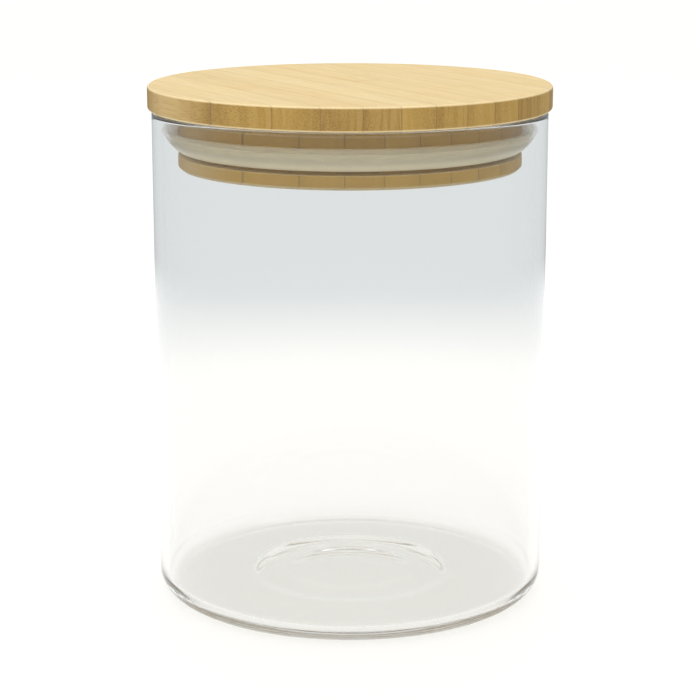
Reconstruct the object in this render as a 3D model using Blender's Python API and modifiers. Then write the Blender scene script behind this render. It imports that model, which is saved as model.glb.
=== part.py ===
"""Lidded glass storage canister: a blown glass jar, a turned bamboo lid and a silicone seal.

The jar stands on z = 0 with its axis on Z. The lid is one board of upright bamboo strips,
glued side by side along Y and turned to a disc over a grooved plug. The seal's foot sits in
that groove and its lip flares up and out to the glass. All sizes are in metres.
"""

import math

import bmesh
import bpy

# Glass jar
JAR_DIAMETER = 0.100
JAR_HEIGHT = 0.1252
WALL = 0.0022
FLOOR_THICKNESS = 0.0030
HEEL_RADIUS = 0.0052
FOOT_RING_WIDTH = 0.0070
PUNT_RISE = 0.0012

# Bamboo lid
DISC_OVERHANG = 0.0010
DISC_THICKNESS = 0.0060
DISC_EDGE_RADIUS = 0.0008
PLUG_CLEARANCE = 0.0043
PLUG_CHAMFER = 0.0008
PLUG_ABOVE_GROOVE = 0.0058
GROOVE_HEIGHT = 0.0052
GROOVE_DEPTH = 0.0030
PLUG_BELOW_GROOVE = 0.0035
STRIP_WIDTH = 0.0082
NARROWEST_STRIP = 0.0015
SEAM_OUTSIDE_PLUG = 0.0005
SEAM_INSIDE_GROOVE = 0.0010

# Silicone seal
SLACK_UNDER_FOOT = 0.0010
LIP_THICKNESS = 0.0012
LIP_ABOVE_GROOVE = 0.0014
LIP_HINGE_HEIGHT = 0.0017

# Gap kept between pieces that touch on the real canister
TOUCH_GAP = 0.0003

TURN_STEPS = 72
ARC_STEPS = 5
MERGE = 0.00005

# Worked out from the sizes above
OUTER_R = JAR_DIAMETER / 2
INNER_R = OUTER_R - WALL
DISC_R = OUTER_R + DISC_OVERHANG
PLUG_R = INNER_R - PLUG_CLEARANCE
PLUG_DEPTH = PLUG_ABOVE_GROOVE + GROOVE_HEIGHT + PLUG_BELOW_GROOVE
GROOVE_R = PLUG_R - GROOVE_DEPTH
LID_SEAT_Z = JAR_HEIGHT + TOUCH_GAP

GLASS_COLOUR = (0.90, 0.94, 0.93, 1.0)
SILICONE_COLOUR = (0.72, 0.68, 0.63, 1.0)
BAMBOO_COLOURS = (
    (0.76, 0.56, 0.28, 1.0),
    (0.70, 0.49, 0.23, 1.0),
    (0.79, 0.60, 0.33, 1.0),
    (0.73, 0.53, 0.27, 1.0),
)


def clear_scene():
    for obj in list(bpy.data.objects):
        bpy.data.objects.remove(obj)


def new_collection(name):
    collection = bpy.data.collections.new(name)
    bpy.context.scene.collection.children.link(collection)
    return collection


def new_material(name, colour, roughness, transmission=0.0, ior=1.5):
    material = bpy.data.materials.new(name)
    material.use_nodes = True
    shader = material.node_tree.nodes["Principled BSDF"]
    shader.inputs["Base Color"].default_value = colour
    shader.inputs["Roughness"].default_value = roughness
    shader.inputs["Metallic"].default_value = 0.0
    shader.inputs["Transmission Weight"].default_value = transmission
    shader.inputs["IOR"].default_value = ior
    return material


def new_frame(name, height, collection):
    """An empty on the canister's axis, which one body's pieces hang from."""
    frame = bpy.data.objects.new(name, None)
    frame.location.z = height
    frame.empty_display_size = 0.02
    collection.objects.link(frame)
    return frame


def arc(centre, radius, start, end, steps=ARC_STEPS):
    """Points (r, z) round a centre, from one angle to another in degrees."""
    r, z = centre
    angles = [math.radians(start + (end - start) * i / steps) for i in range(steps + 1)]
    return [(r + radius * math.cos(a), z + radius * math.sin(a)) for a in angles]


def dome(radius, edge_z, rise, steps=ARC_STEPS):
    """A shallow cosine dome, from its edge to just short of the axis, then the centre."""
    rings = [(radius * (1 - i / steps)) for i in range(steps)]
    curve = [(r, edge_z + rise * (1 + math.cos(math.pi * r / radius)) / 2) for r in rings]
    return curve + [(0.0, edge_z + rise)]


def turned(name, profile, frame, collection, material, ring=False):
    """A profile of (r, z) points turned once round Z. A ring's profile closes on itself."""
    count = len(profile)
    edges = [(i, i + 1) for i in range(count - 1)]
    if ring:
        edges.append((count - 1, 0))
    mesh = bpy.data.meshes.new(name)
    mesh.from_pydata([(r, 0.0, z) for r, z in profile], edges, [])
    obj = bpy.data.objects.new(name, mesh)
    obj.parent = frame
    collection.objects.link(obj)
    mesh.materials.append(material)
    screw = obj.modifiers.new("turn", "SCREW")
    screw.axis = "Z"
    screw.angle = math.tau
    screw.steps = TURN_STEPS
    screw.render_steps = TURN_STEPS
    screw.use_merge_vertices = True
    screw.merge_threshold = MERGE
    return obj


def jar_profile():
    """From the middle of the inside floor, up the inner wall, over the rim and down outside."""
    lip_r = WALL / 2
    inner_heel = HEEL_RADIUS - WALL
    inside_floor = dome(INNER_R - inner_heel, FLOOR_THICKNESS, PUNT_RISE)
    inner_corner = arc((INNER_R - inner_heel, FLOOR_THICKNESS + inner_heel), inner_heel, -90, 0)
    rim = arc((OUTER_R - lip_r, JAR_HEIGHT - lip_r), lip_r, 180, 0, 2 * ARC_STEPS)
    outer_heel = arc((OUTER_R - HEEL_RADIUS, HEEL_RADIUS), HEEL_RADIUS, 0, -90)
    punt = dome(OUTER_R - HEEL_RADIUS - FOOT_RING_WIDTH, 0.0, PUNT_RISE)
    return inside_floor[::-1] + inner_corner[1:] + rim + outer_heel + punt


def lid_profile():
    """Down from the middle of the top, in the lid's frame: z = 0 is the disc's underside."""
    edge = DISC_EDGE_RADIUS
    top_edge = arc((DISC_R - edge, DISC_THICKNESS - edge), edge, 90, 0, 3)
    under_edge = arc((DISC_R - edge, edge), edge, 0, -90, 3)
    groove_top = -PLUG_ABOVE_GROOVE
    groove_bottom = groove_top - GROOVE_HEIGHT
    plug = [
        (PLUG_R, 0.0),
        (PLUG_R, groove_top),
        (GROOVE_R, groove_top),
        (GROOVE_R, groove_bottom),
        (PLUG_R, groove_bottom),
        (PLUG_R, -PLUG_DEPTH + PLUG_CHAMFER),
        (PLUG_R - PLUG_CHAMFER, -PLUG_DEPTH),
    ]
    return [(0.0, DISC_THICKNESS)] + top_edge + under_edge + plug + [(0.0, -PLUG_DEPTH)]


def curve(start, handle, end, steps=ARC_STEPS):
    """A smooth bend from one (r, z) point to another, drawn towards a handle."""
    points = []
    for i in range(steps + 1):
        t = i / steps
        weights = ((1 - t) ** 2, 2 * t * (1 - t), t * t)
        r = sum(w * point[0] for w, point in zip(weights, (start, handle, end)))
        z = sum(w * point[1] for w, point in zip(weights, (start, handle, end)))
        points.append((r, z))
    return points


def seal_profile():
    """The foot in the groove and the lip to the glass, in the lid's frame."""
    groove_top = -PLUG_ABOVE_GROOVE
    foot_top = groove_top - TOUCH_GAP
    foot_bottom = groove_top - GROOVE_HEIGHT + SLACK_UNDER_FOOT
    foot_inner = GROOVE_R + TOUCH_GAP
    foot_outer = PLUG_R - TOUCH_GAP
    hinge_z = foot_bottom + LIP_HINGE_HEIGHT
    tip_r = INNER_R - TOUCH_GAP
    tip_z = groove_top + LIP_ABOVE_GROOVE
    reach = tip_r - PLUG_R
    outside = curve(
        (tip_r, tip_z),
        (PLUG_R + 0.6 * reach, hinge_z),
        (foot_outer, foot_bottom),
    )
    inside = curve(
        (foot_outer, hinge_z),
        (PLUG_R + 0.4 * reach, hinge_z + 0.3 * LIP_THICKNESS),
        (tip_r - 0.7 * LIP_THICKNESS, tip_z + 0.2 * LIP_THICKNESS),
    )
    foot = [(foot_inner, foot_bottom), (foot_inner, foot_top), (foot_outer, foot_top)]
    return outside + foot + inside


def strip_edges():
    """X of the disc's left side, of each seam, and of the disc's right side. The seam that
    meets the plug's right side passes outside it and the one on its left passes inside the
    groove, so that each strip's share of the plug stays one piece with the strip."""
    first = -(GROOVE_R - SEAM_INSIDE_GROOVE)
    last = PLUG_R + SEAM_OUTSIDE_PLUG
    count = round((last - first) / STRIP_WIDTH)
    width = (last - first) / count
    left_count = math.floor((DISC_R - NARROWEST_STRIP + first) / width)
    right_count = math.floor((DISC_R - NARROWEST_STRIP - last) / width)
    seams = [first + width * i for i in range(-left_count, count + right_count + 1)]
    return [-DISC_R] + seams + [DISC_R]


def slab_cutter(name, low_x, high_x, frame, collection):
    """A box that keeps one strip's width of the turned blank, and all of its length."""
    mesh = bpy.data.meshes.new(name)
    box = bmesh.new()
    bmesh.ops.create_cube(box, size=1.0)
    size = (high_x - low_x, 2.2 * DISC_R, 2.2 * (DISC_THICKNESS + PLUG_DEPTH))
    bmesh.ops.scale(box, vec=size, verts=box.verts)
    bmesh.ops.translate(box, vec=((low_x + high_x) / 2, 0.0, 0.0), verts=box.verts)
    box.to_mesh(mesh)
    box.free()
    cutter = bpy.data.objects.new(name, mesh)
    cutter.parent = frame
    cutter.hide_render = True
    cutter.display_type = "WIRE"
    collection.objects.link(cutter)
    return cutter


def build_lid(collection, cutters):
    frame = new_frame("lid_frame", LID_SEAT_Z, collection)
    materials = [
        new_material(f"bamboo_{i + 1}", colour, roughness=0.55)
        for i, colour in enumerate(BAMBOO_COLOURS)
    ]
    edges = strip_edges()
    kept_from = [-1.1 * DISC_R] + [x + TOUCH_GAP / 2 for x in edges[1:-1]]
    kept_to = [x - TOUCH_GAP / 2 for x in edges[1:-1]] + [1.1 * DISC_R]
    for i, (low, high) in enumerate(zip(kept_from, kept_to)):
        material = materials[i * 3 % len(materials)]
        strip = turned(f"lid_strip_{i + 1:02d}", lid_profile(), frame, collection, material)
        saw = strip.modifiers.new("saw", "BOOLEAN")
        saw.operation = "INTERSECT"
        saw.object = slab_cutter(f"saw_{i + 1:02d}", low, high, frame, cutters)


def build_seal(collection):
    silicone = new_material("silicone", SILICONE_COLOUR, roughness=0.4)
    frame = new_frame("seal_frame", LID_SEAT_Z, collection)
    turned("silicone_seal", seal_profile(), frame, collection, silicone, ring=True)


def build_jar(collection):
    glass = new_material("glass", GLASS_COLOUR, roughness=0.0, transmission=1.0, ior=1.47)
    frame = new_frame("jar_frame", 0.0, collection)
    turned("glass_jar", jar_profile(), frame, collection, glass)


def main():
    clear_scene()
    canister = new_collection("glass_canister")
    cutters = new_collection("cutters")
    build_jar(canister)
    build_seal(canister)
    build_lid(canister, cutters)


main()
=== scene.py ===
"""The looks of a lidded glass canister: blown glass jar, laminated bamboo lid, silicone lip seal."""

import math

import bmesh
import bpy
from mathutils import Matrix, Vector


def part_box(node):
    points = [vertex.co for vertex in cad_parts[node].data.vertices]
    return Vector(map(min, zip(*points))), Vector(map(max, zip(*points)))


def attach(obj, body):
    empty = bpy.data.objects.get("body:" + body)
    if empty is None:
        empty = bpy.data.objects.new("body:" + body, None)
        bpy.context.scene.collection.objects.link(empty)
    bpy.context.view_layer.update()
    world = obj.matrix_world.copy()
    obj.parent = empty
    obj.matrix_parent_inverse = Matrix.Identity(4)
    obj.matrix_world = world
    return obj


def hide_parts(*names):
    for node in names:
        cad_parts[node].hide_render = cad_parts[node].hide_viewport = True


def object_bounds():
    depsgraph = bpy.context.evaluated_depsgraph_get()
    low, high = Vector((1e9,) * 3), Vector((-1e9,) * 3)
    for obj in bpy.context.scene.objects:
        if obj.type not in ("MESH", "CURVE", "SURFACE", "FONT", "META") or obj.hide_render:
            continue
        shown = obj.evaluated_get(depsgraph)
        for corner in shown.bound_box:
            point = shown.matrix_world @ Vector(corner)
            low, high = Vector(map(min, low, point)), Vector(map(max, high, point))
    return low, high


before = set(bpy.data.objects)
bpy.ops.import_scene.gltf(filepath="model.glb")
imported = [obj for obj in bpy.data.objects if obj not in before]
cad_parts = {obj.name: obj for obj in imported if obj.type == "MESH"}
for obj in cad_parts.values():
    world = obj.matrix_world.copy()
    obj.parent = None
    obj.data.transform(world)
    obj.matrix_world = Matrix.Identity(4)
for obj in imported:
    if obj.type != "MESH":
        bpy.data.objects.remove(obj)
cad_low, cad_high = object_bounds()


# Glass jar
#
# A straight-sided jar of clear borosilicate glass, blown in a turning mould. Its rim is cut
# and fire-polished round, the heel is soft, and the middle of the base is pushed up so that
# the jar stands on a ring. The push-up leaves two faint steps in the floor.

jar_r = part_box("glass_jar")[1].x
jar_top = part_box("glass_jar")[1].z
jar_wall = 0.0022
jar_bore = jar_r - jar_wall
outer_heel = 0.0052
inner_heel = outer_heel - jar_wall
floor_thickness = 0.0030
foot_ring_width = 0.0070
push_up = 0.0012
beside_heel = 0.0005
beside_foot = 0.0004


def arc(centre, radius, start, end, steps):
    """Points (r, z) round a centre, from one angle to another in degrees."""
    angles = [math.radians(start + (end - start) * i / steps) for i in range(steps + 1)]
    return [(centre[0] + radius * math.cos(a), centre[1] + radius * math.sin(a)) for a in angles]


def floor_curve(edge_r, edge_z, rise, steps, count):
    """The pushed-up floor from its edge to the middle. Each step is (radius, width, height)."""
    curve = []
    for i in range(count + 1):
        r = edge_r * (1 - i / count)
        z = edge_z + rise * (1 + math.cos(math.pi * r / edge_r)) / 2
        for step_r, width, height in steps:
            share = min(max((step_r + width / 2 - r) / width, 0.0), 1.0)
            z += height * share * share * (3 - 2 * share)
        curve.append((r, z))
    return curve


def turned_body(outline, steps, ring=False):
    """A bmesh of an outline of (r, z) points turned once round Z. A ring's outline is closed."""
    body = bmesh.new()
    points = [body.verts.new((r, 0.0, z)) for r, z in outline]
    edges = [body.edges.new(pair) for pair in zip(points, points[1:])]
    if ring:
        edges.append(body.edges.new((points[-1], points[0])))
    around_z = {"cent": (0, 0, 0), "axis": (0, 0, 1), "angle": math.tau}
    bmesh.ops.spin(body, geom=points + edges, steps=steps, use_merge=True, **around_z)
    bmesh.ops.remove_doubles(body, verts=body.verts, dist=1e-6)
    bmesh.ops.recalc_face_normals(body, faces=body.faces)
    return body


def finished_piece(name, body, material, sharp_angle=35):
    """A mesh object of a bmesh, shaded smooth but for its sharp edges."""
    mesh = bpy.data.meshes.new(name)
    body.to_mesh(mesh)
    body.free()
    mesh.shade_smooth()
    mesh.set_sharp_from_angle(angle=math.radians(sharp_angle))
    mesh.materials.append(material)
    piece = bpy.data.objects.new(name, mesh)
    bpy.context.scene.collection.objects.link(piece)
    return piece


inner_floor_r = jar_bore - inner_heel
foot_r = jar_r - outer_heel
under_r = foot_r - foot_ring_width
inside_steps = ((0.0250, 0.0050, -0.00060), (0.0155, 0.0050, -0.00016))
jar_outline = (
    floor_curve(inner_floor_r, floor_thickness, push_up, inside_steps, 54)[::-1]
    + arc((inner_floor_r, floor_thickness + inner_heel), inner_heel, -90, 0, 14)[1:]
    + [(jar_bore, floor_thickness + inner_heel + beside_heel)]
    + [(jar_bore, jar_top - jar_wall)]
    + arc((jar_r - jar_wall / 2, jar_top - jar_wall / 2), jar_wall / 2, 180, 0, 20)
    + [(jar_r, jar_top - jar_wall)]
    + [(jar_r, outer_heel + beside_heel)]
    + arc((foot_r, outer_heel), outer_heel, 0, -90, 18)
    + [(foot_r - beside_foot, 0.0), (under_r + beside_foot, 0.0)]
    + floor_curve(under_r, 0.0, push_up, (), 20)
)


def feed(tree, receiver, inputs):
    """Gives each of a node's inputs a value, or links it from a socket."""
    for name, value in inputs.items():
        if isinstance(value, bpy.types.NodeSocket):
            tree.links.new(value, receiver.inputs[name])
        else:
            receiver.inputs[name].default_value = value


def node(tree, kind, inputs=None, **settings):
    """One shader node, with its settings and inputs."""
    made = tree.nodes.new("ShaderNode" + kind)
    for name, value in settings.items():
        setattr(made, name, value)
    feed(tree, made, inputs or {})
    return made


def calc(tree, operation, *values):
    """A Math node's result."""
    return node(tree, "Math", dict(enumerate(values)), operation=operation).outputs[0]


def fade(tree, value, start, end, low=0.0, high=1.0):
    """A smooth step from low to high as value goes from start to end."""
    inputs = {"Value": value, "From Min": start, "From Max": end, "To Min": low, "To Max": high}
    return node(tree, "MapRange", inputs, interpolation_type="SMOOTHSTEP").outputs[0]


def noise(tree, place, scale, detail, roughness=0.5):
    """A Noise Texture's grey value."""
    inputs = {"Vector": place, "Scale": scale, "Detail": detail, "Roughness": roughness}
    return node(tree, "TexNoise", inputs).outputs["Fac"]


def stretched(tree, place, x_scale, y_scale, z_scale):
    """A place scaled along each axis, so that a pattern on it is drawn out or squeezed."""
    return node(tree, "Mapping", {0: place, "Scale": (x_scale, y_scale, z_scale)}).outputs[0]


def new_material(name):
    """A material, its node tree and its Principled BSDF."""
    material = bpy.data.materials.new(name)
    material.use_nodes = True
    return material, material.node_tree, material.node_tree.nodes["Principled BSDF"]


# Every surface of the canister is a little uneven: blown glass waves, moulded silicone is
# satin with handling marks, and sanded bamboo shines more in some places than in others.
uneven = bpy.data.node_groups.new("uneven_surface", "ShaderNodeTree")
uneven.interface.new_socket("Vector", in_out="INPUT", socket_type="NodeSocketVector")
for socket_name in ("Size mm", "Least", "Most"):
    uneven.interface.new_socket(socket_name, in_out="INPUT", socket_type="NodeSocketFloat")
for socket_name in ("Amount", "Height"):
    uneven.interface.new_socket(socket_name, in_out="OUTPUT", socket_type="NodeSocketFloat")
given = uneven.nodes.new("NodeGroupInput").outputs
cells_per_metre = calc(uneven, "DIVIDE", 1000.0, given["Size mm"])
swell = noise(uneven, given["Vector"], cells_per_metre, 2.0)
amount = fade(uneven, swell, 0.3, 0.7, given["Least"], given["Most"])
feed(uneven, uneven.nodes.new("NodeGroupOutput"), {"Amount": amount, "Height": swell})


def place_uneven(tree, place, size_mm, least, most):
    """The uneven surface in one material, with its own size and range."""
    placed = tree.nodes.new("ShaderNodeGroup")
    placed.node_tree = uneven
    feed(tree, placed, {"Vector": place, "Size mm": size_mm, "Least": least, "Most": most})
    return placed.outputs


glass, glass_tree, glass_shader = new_material("clear_blown_glass")
on_glass = node(glass_tree, "TexCoord").outputs["Object"]
drawn_down = stretched(glass_tree, on_glass, 1.0, 1.0, 0.35)
waves = place_uneven(glass_tree, drawn_down, 22.0, 0.0, 1.0)
smears = place_uneven(glass_tree, on_glass, 30.0, 0.0, 0.015)
wave_bump = {"Strength": 0.10, "Distance": 0.0002, "Height": waves["Height"]}
glass_looks = {
    "Base Color": (0.962, 0.962, 0.955, 1.0),
    "IOR": 1.47,
    "Transmission Weight": 1.0,
    "Roughness": smears["Amount"],
    "Normal": node(glass_tree, "Bump", wave_bump).outputs[0],
}
feed(glass_tree, glass_shader, glass_looks)

jar = finished_piece("jar", turned_body(jar_outline, 480), glass, 60)
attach(jar, "jar")
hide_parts("glass_jar")


# Bamboo lid
#
# Upright strips of bamboo, split from the culm, planed and glued side by side, then turned
# on a lathe: a disc over a plug, with a groove for the seal. Every edge is eased by sanding
# and the wood is oiled. Each strip is cut from the same turned blank, so its grain is its own.

strip_nodes = sorted(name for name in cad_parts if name.startswith("lid_strip_"))
strip_boxes = [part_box(name) for name in strip_nodes]
lid_bottom = min(low.z for low, high in strip_boxes)
lid_top = max(high.z for low, high in strip_boxes)
disc_r = max(high.x for low, high in strip_boxes)
touch_gap = 0.0003
disc_bottom = jar_top + touch_gap
disc_ease = 0.0008
plug_r = jar_bore - 0.0043
plug_chamfer = 0.0008
groove_top = disc_bottom - 0.0058
groove_bottom = groove_top - 0.0052
groove_r = plug_r - 0.0030
broken_edge = 0.00015
beside = 0.0002
eased_r = disc_r - disc_ease
broken_r = plug_r - broken_edge
lid_outline = (
    [(0.0, lid_top), (eased_r - beside, lid_top)]
    + arc((eased_r, lid_top - disc_ease), disc_ease, 90, 0, 8)
    + arc((eased_r, disc_bottom + disc_ease), disc_ease, 0, -90, 8)
    + [(eased_r - beside, disc_bottom)]
    + [(plug_r + beside, disc_bottom), (plug_r, disc_bottom - beside)]
    + arc((broken_r, groove_top + broken_edge), broken_edge, 0, -90, 3)
    + [(groove_r, groove_top), (groove_r, groove_bottom)]
    + arc((broken_r, groove_bottom - broken_edge), broken_edge, 90, 0, 3)
    + arc((broken_r, lid_bottom + plug_chamfer), broken_edge, 0, -45, 2)
    + arc((plug_r - plug_chamfer, lid_bottom + broken_edge), broken_edge, -45, -90, 2)
    + [(plug_r - plug_chamfer - beside, lid_bottom), (0.0, lid_bottom)]
)
seams = [(low[1].x + high[0].x) / 2 for low, high in zip(strip_boxes, strip_boxes[1:])]
strip_width = (seams[-1] - seams[0]) / (len(seams) - 1)


def mixed(tree, factor, first, second):
    """Two colours mixed by a factor."""
    return node(tree, "Mix", {0: factor, 6: first, 7: second}, data_type="RGBA").outputs[2]


bamboo, tree, bamboo_shader = new_material("oiled_bamboo")
wood = node(tree, "TexCoord").outputs
to_mm = {0: wood["Object"], "Scale": 1000.0}
in_mm = node(tree, "VectorMath", to_mm, operation="SCALE").outputs[0]
x, y, z = node(tree, "SeparateXYZ", {0: in_mm}).outputs

# Where a point lies in its strip. The culm's dense, dark skin side is on the left in some
# strips and on the right in others.
from_first_seam = calc(tree, "SUBTRACT", x, seams[0] * 1000)
across = calc(tree, "DIVIDE", from_first_seam, strip_width * 1000)
strip_number = calc(tree, "FLOOR", across)
share = calc(tree, "FRACT", across)
chance = node(tree, "TexWhiteNoise", {"W": strip_number}, noise_dimensions="1D").outputs
chances = node(tree, "SeparateColor", {0: chance["Color"]}).outputs
tone_chance, knuckle_chance, end_chance = chances
turned_round = calc(tree, "ROUND", chance["Value"])
to_skin = calc(tree, "ABSOLUTE", calc(tree, "SUBTRACT", share, turned_round))
to_seam = calc(tree, "MULTIPLY", calc(tree, "PINGPONG", share, 0.5), strip_width * 1000)

# Fibres run along Y, wander a little, and start anew in each strip.
wander = noise(tree, stretched(tree, in_mm, 0.05, 0.02, 0.05), 1.0, 1.0)
sway = calc(tree, "MULTIPLY", calc(tree, "SUBTRACT", wander, 0.5), 2.4)
strip_start = calc(tree, "MULTIPLY", chance["Value"], 90.0)
swayed = {
    0: calc(tree, "ADD", x, sway),
    1: calc(tree, "ADD", y, strip_start),
    2: calc(tree, "ADD", z, sway),
}
along = node(tree, "CombineXYZ", swayed).outputs[0]
bundle_looks = {"Vector": stretched(tree, along, 1.0, 0.022, 1.0), "Scale": 2.2, "Randomness": 1.0}
to_bundle = node(tree, "TexVoronoi", bundle_looks).outputs["Distance"]
bundle_size = fade(tree, to_skin, 0.0, 1.0, 0.14, 0.34)
bundle_end = calc(tree, "ADD", bundle_size, 0.22)
bundle = calc(tree, "SUBTRACT", 1.0, fade(tree, to_bundle, bundle_size, bundle_end))
fine_place = stretched(tree, along, 1.0, 0.012, 1.0)
fine = noise(tree, fine_place, 5.5, 3.0, 0.6)
tone = noise(tree, fine_place, 0.45, 2.0)
layers = noise(tree, stretched(tree, along, 1.0, 0.004, 0.06), 1.1, 2.0)

# A strip shows a knuckle of the culm only where one happens to fall inside the disc.
knuckle_spread = 420.0
knuckle_y = calc(tree, "MULTIPLY", calc(tree, "SUBTRACT", knuckle_chance, 0.5), knuckle_spread)
bent = calc(tree, "MULTIPLY", calc(tree, "SUBTRACT", fine, 0.5), 5.0)
from_knuckle = calc(tree, "ADD", calc(tree, "SUBTRACT", y, knuckle_y), bent)
to_knuckle = calc(tree, "ABSOLUTE", from_knuckle)
knuckle = calc(tree, "SUBTRACT", 1.0, fade(tree, to_knuckle, 0.2, 2.6))

# The cut ends of the fibres drink more oil than their sides and go darker. The turned side of the
# disc is darkened further as painted shade, for the overhead light that its top gets and its side
# does not. On the plug, under the disc, the end grain is painted lighter, as painted light against
# the shade there, so the darkening is most of all on the disc. The eased edges are painted paler,
# as a painted highlight.
normal_y, normal_z = node(tree, "SeparateXYZ", {0: wood["Normal"]}).outputs[1:]
upright = calc(tree, "ABSOLUTE", normal_z)
turned_side = fade(tree, upright, 0.3, 0.8, 1.0, 0.0)
across_grain = fade(tree, calc(tree, "ABSOLUTE", normal_y), 0.0, 0.40, 0.60, 1.0)
# The turned sides: their end grain is darker of itself, and it also carries painted shade.
end_grain_and_side_shade = calc(tree, "MULTIPLY", turned_side, across_grain)
level = calc(tree, "SQRT", calc(tree, "SUBTRACT", 1.0, calc(tree, "MULTIPLY", upright, upright)))
# Faces tilted between upright and level, that is the eased edges and the chamfer, painted paler as a
# painted highlight.
eased_edge_highlight = fade(tree, calc(tree, "MULTIPLY", upright, level), 0.22, 0.48)
on_plug = calc(tree, "LESS_THAN", z, (disc_bottom - 0.0001) * 1000)
glue = calc(tree, "SUBTRACT", 1.0, fade(tree, to_seam, 0.04, 0.20))
glue_share = fade(tree, end_grain_and_side_shade, 0.0, 1.0, 0.28, 0.58)


def layered(colour, layers_over):
    """A colour with others laid over it in turn, each by its own (mask, share, colour)."""
    for mask, most, over in layers_over:
        colour = mixed(tree, calc(tree, "MULTIPLY", mask, most), colour, over)
    return colour


side_colour = layered(
    mixed(tree, tone_chance, (0.690, 0.540, 0.275, 1), (0.645, 0.480, 0.225, 1)),
    (
        (fade(tree, tone, 0.35, 0.65), 0.45, (0.700, 0.555, 0.300, 1)),
        (fade(tree, fine, 0.40, 0.68), 0.40, (0.580, 0.415, 0.180, 1)),
        (bundle, 0.36, (0.520, 0.350, 0.140, 1)),
    ),
)
# End grain colour, darkened further as painted shade on the disc's side, and painted lighter on the
# plug.
end_grain_and_shade_colour = layered(
    mixed(tree, end_chance, (0.360, 0.226, 0.052, 1), (0.240, 0.141, 0.030, 1)),
    (
        (fade(tree, layers, 0.38, 0.62), 0.50, (0.385, 0.250, 0.070, 1)),
        (fade(tree, to_skin, 0.55, 1.0), 0.40, (0.215, 0.122, 0.026, 1)),
        (fade(tree, fine, 0.40, 0.68), 0.30, (0.405, 0.270, 0.080, 1)),
        (bundle, 0.36, (0.180, 0.100, 0.022, 1)),
        # painted light: the plug's end grain is lightened against the shade under the disc
        (on_plug, 0.50, (0.640, 0.395, 0.075, 1)),
    ),
)
wood_colour = layered(
    mixed(tree, end_grain_and_side_shade, side_colour, end_grain_and_shade_colour),
    (
        (knuckle, 0.18, (0.420, 0.265, 0.110, 1)),
        (glue, glue_share, (0.190, 0.110, 0.040, 1)),
        # painted highlight on the eased edges and the chamfer
        (eased_edge_highlight, 0.35, (0.740, 0.620, 0.400, 1)),
    ),
)
sheen = place_uneven(tree, wood["Object"], 14.0, 0.48, 0.62)["Amount"]
ridges = calc(tree, "ADD", calc(tree, "MULTIPLY", bundle, 0.5), glue)
relief = calc(tree, "SUBTRACT", fine, ridges)
relief_bump = {"Strength": 0.5, "Distance": 0.00006, "Height": relief}
bamboo_looks = {
    "Base Color": wood_colour,
    "Specular IOR Level": 0.3,
    "Roughness": calc(tree, "ADD", sheen, calc(tree, "MULTIPLY", fine, 0.10)),
    "Normal": node(tree, "Bump", relief_bump).outputs[0],
}
feed(tree, bamboo_shader, bamboo_looks)


def saw_off(body, x_place, keep_right):
    """Cuts a bmesh with an upright plane across X, drops one side and closes the cut."""
    away = (-1 if keep_right else 1, 0, 0)
    everything = body.verts[:] + body.edges[:] + body.faces[:]
    plane = {"plane_co": (x_place, 0, 0), "plane_no": away}
    cut = bmesh.ops.bisect_plane(body, geom=everything, dist=1e-7, clear_outer=True, **plane)
    rim = [part for part in cut["geom_cut"] if isinstance(part, bmesh.types.BMEdge)]
    bmesh.ops.triangle_fill(body, edges=rim, use_beauty=True, normal=away)


hairline = 0.000012
blank = turned_body(lid_outline, 360)
for i, strip_node in enumerate(strip_nodes):
    strip_body = blank.copy()
    if i > 0:
        saw_off(strip_body, seams[i - 1] + hairline, keep_right=True)
    if i < len(seams):
        saw_off(strip_body, seams[i] - hairline, keep_right=False)
    bmesh.ops.recalc_face_normals(strip_body, faces=strip_body.faces)
    strip = finished_piece(strip_node.replace("lid_", "bamboo_"), strip_body, bamboo)
    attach(strip, "lid")
    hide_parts(strip_node)
blank.free()


# Silicone seal
#
# One moulded ring of milky, translucent silicone, stretched over the plug. Its square foot
# sits in the groove with a little slack under it, and a thin lip flares up and out to the
# glass, which bends it to hold the lid and keep the air out.

seal_low, seal_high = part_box("silicone_seal")
foot_inner = groove_r + touch_gap
foot_outer = plug_r - touch_gap
foot_top = groove_top - touch_gap
foot_bottom = seal_low.z
lip_thickness = 0.0012
lip_hinge_z = foot_bottom + 0.0017
lip_tip_r = seal_high.x
lip_tip_z = groove_top + 0.0014
lip_reach = lip_tip_r - plug_r
lip_steps = 14


def bend(start, handle, end, steps):
    """A smooth bend of (r, z) points from start to end, drawn towards a handle."""
    start, handle, end = Vector(start), Vector(handle), Vector(end)
    shares = [i / steps for i in range(steps + 1)]
    return [tuple(start.lerp(handle, t).lerp(handle.lerp(end, t), t)) for t in shares]


lip_under = bend(
    (lip_tip_r, lip_tip_z),
    (plug_r + 0.6 * lip_reach, lip_hinge_z),
    (foot_outer, foot_bottom),
    lip_steps,
)
lip_over = bend(
    (foot_outer, lip_hinge_z),
    (plug_r + 0.4 * lip_reach, lip_hinge_z + 0.3 * lip_thickness),
    (lip_tip_r - 0.7 * lip_thickness, lip_tip_z + 0.2 * lip_thickness),
    lip_steps,
)
foot = [(foot_inner, foot_bottom), (foot_inner, foot_top), (foot_outer, foot_top)]
seal_outline = lip_under + foot + lip_over

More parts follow.
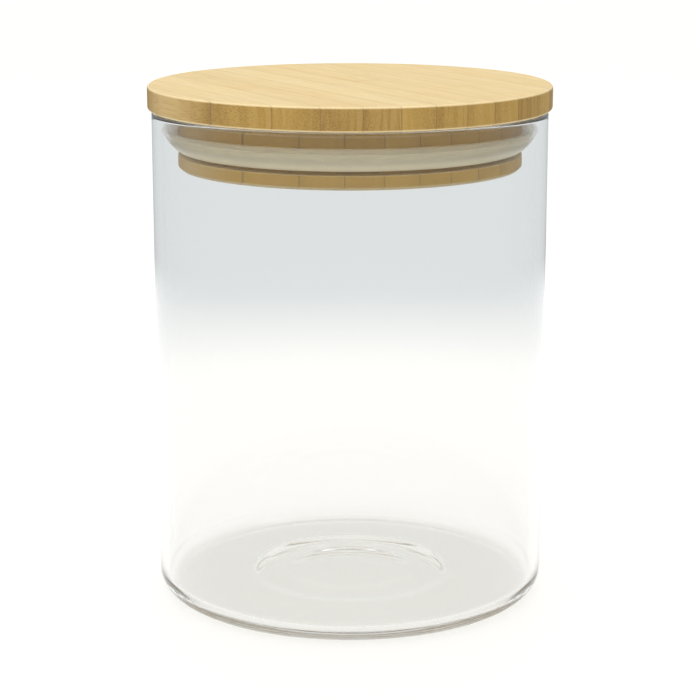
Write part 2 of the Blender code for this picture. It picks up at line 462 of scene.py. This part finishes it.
# The thick foot is milky, and the lip gets clearer as it thins towards its tip.
silicone, silicone_tree, silicone_shader = new_material("milky_silicone")
on_seal = node(silicone_tree, "TexCoord").outputs["Object"]
seal_x, seal_y = node(silicone_tree, "SeparateXYZ", {0: on_seal}).outputs[:2]
flat_place = node(silicone_tree, "CombineXYZ", {0: seal_x, 1: seal_y}).outputs[0]
seal_r = node(silicone_tree, "VectorMath", {0: flat_place}, operation="LENGTH").outputs["Value"]
thinning_r = foot_outer + 0.2 * lip_reach
silicone_looks = {
    "Base Color": (0.915, 0.835, 0.605, 1.0),
    "IOR": 1.41,
    "Roughness": place_uneven(silicone_tree, on_seal, 8.0, 0.30, 0.42)["Amount"],
    "Alpha": fade(silicone_tree, seal_r, thinning_r, lip_tip_r, 1.0, 0.24),
}
feed(silicone_tree, silicone_shader, silicone_looks)

seal = finished_piece("seal", turned_body(seal_outline, 240, ring=True), silicone)
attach(seal, "seal")
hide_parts("silicone_seal")


# Studio
#
# A sheet of opal acrylic, lit from below, in a bright room under a wide softbox. Round the
# sheet lie two glowing cards that show only in the glass: a grey ring behind it, seen through
# the glass, and a dark ring that is a painted reflection on it.

sheet_r = 9.0
sheet_body = bmesh.new()
bmesh.ops.create_circle(sheet_body, cap_ends=True, segments=96, radius=sheet_r)
opal, opal_tree, opal_shader = new_material("opal_sheet")
opal_looks = {
    "Base Color": (0.17, 0.175, 0.205, 1.0),
    "Roughness": 0.6,
    "Emission Color": (1.0, 0.985, 0.92, 1.0),
    "Emission Strength": 0.815,
}
feed(opal_tree, opal_shader, opal_looks)
sheet = finished_piece("opal_sheet", sheet_body, opal)
sheet.location.z = cad_low.z - 0.0001


def ring_card(name, near, full, colour, height, seen_by):
    """A flat card round the jar, clear inside near and of its full colour beyond full."""
    material = bpy.data.materials.new(name)
    material.use_nodes = True
    card_tree = material.node_tree
    card_tree.nodes.clear()
    place = node(card_tree, "TexCoord").outputs["Object"]
    reach = node(card_tree, "VectorMath", {0: place}, operation="LENGTH").outputs["Value"]
    clear = node(card_tree, "BsdfTransparent").outputs[0]
    glow = node(card_tree, "Emission", {"Color": colour}).outputs[0]
    faded = {0: fade(card_tree, reach, near, full), 1: clear, 2: glow}
    node(card_tree, "OutputMaterial", {0: node(card_tree, "MixShader", faded).outputs[0]})
    card = finished_piece(name, turned_body([(near, height), (sheet_r, height)], 96), material)
    for ray in ("camera", "diffuse", "glossy", "transmission", "volume_scatter", "shadow"):
        setattr(card, "visible_" + ray, ray == seen_by)


seen_through_grey = (0.790, 0.825, 0.838, 1.0)
reflected_grey = (0.45, 0.47, 0.48, 1.0)
ring_card("grey_ring", 0.21, 0.385, seen_through_grey, 0.001, "transmission")
# The dark ring glows and is seen by glossy rays alone: a painted reflection in the glass.
ring_card("dark_ring", 0.36, 0.48, reflected_grey, 0.002, "glossy")

softbox = bpy.data.objects.new("overhead", bpy.data.lights.new("overhead", "AREA"))
softbox.data.shape = "RECTANGLE"
softbox.data.size = 1.2
softbox.data.size_y = 1.2
softbox.data.energy = 4.5
softbox.location = (0.0, 0.1, 1.1)
softbox.rotation_euler = (-softbox.location).to_track_quat("-Z", "Y").to_euler()
bpy.context.scene.collection.objects.link(softbox)

# The room is brightest towards a window. Its backdrop is white, but seen through the glass or
# reflected in it, it starts as grey as the rings do.
world = bpy.data.worlds.new("studio")
bpy.context.scene.world = world
world.use_nodes = True
air = world.node_tree
way = node(air, "TexCoord").outputs["Generated"]
height = node(air, "SeparateXYZ", {0: way}).outputs[2]
window_angle = math.radians(-47)
window_way = (math.sin(window_angle), -math.cos(window_angle), 0.12)
facing = node(air, "VectorMath", {0: way, 1: window_way}, operation="DOT_PRODUCT").outputs["Value"]
wall_colour = (0.90, 0.90, 0.90, 1)
window_colour = (2.30, 2.28, 2.22, 1)
ceiling_colour = (0.85, 0.85, 0.85, 1)
upper_wall_colour = (0.60, 0.60, 0.58, 1)
backdrop_colour = (0.985, 0.985, 0.975, 1)
room = mixed(air, fade(air, facing, 0.0, 0.9), wall_colour, window_colour)
room = mixed(air, fade(air, height, 0.25, 0.90), room, ceiling_colour)
behind = mixed(air, fade(air, height, 0.08, 0.40), seen_through_grey, upper_wall_colour)
sight = node(air, "LightPath").outputs
unscattered = calc(air, "LESS_THAN", sight["Diffuse Depth"], 0.5)
reflected = calc(air, "MULTIPLY", sight["Is Glossy Ray"], unscattered)
through = calc(air, "MULTIPLY", sight["Is Transmission Ray"], unscattered)
low_down = calc(air, "MULTIPLY", reflected, fade(air, height, 0.0, 0.30, 1.0, 0.0))
room = mixed(air, low_down, room, reflected_grey)
room = mixed(air, through, room, behind)
room = mixed(air, sight["Is Camera Ray"], room, backdrop_colour)
feed(air, air.nodes["Background"], {"Color": room})

view_angle = math.radians(-30)
view_down = math.radians(13.3)
camera_distance = 0.540
camera_height = 0.190
towards_camera = Vector((math.sin(view_angle), -math.cos(view_angle), 0.0))
aim = Vector((0, 0, camera_height - camera_distance * math.tan(view_down)))
camera = bpy.data.objects.new("camera", bpy.data.cameras.new("camera"))
camera.data.lens = 110
camera.data.sensor_width = 36
camera.location = towards_camera * camera_distance + Vector((0, 0, camera_height))
camera.rotation_euler = (aim - camera.location).to_track_quat("-Z", "Y").to_euler()
bpy.context.scene.collection.objects.link(camera)
bpy.context.scene.camera = camera
bpy.context.scene.view_settings.view_transform = "Standard"

# Light runs along inside the glass, from the foot to the rim, and turns back many times.
for kind in ("max", "glossy", "transmission"):
    setattr(bpy.context.scene.cycles, kind + "_bounces", 96)
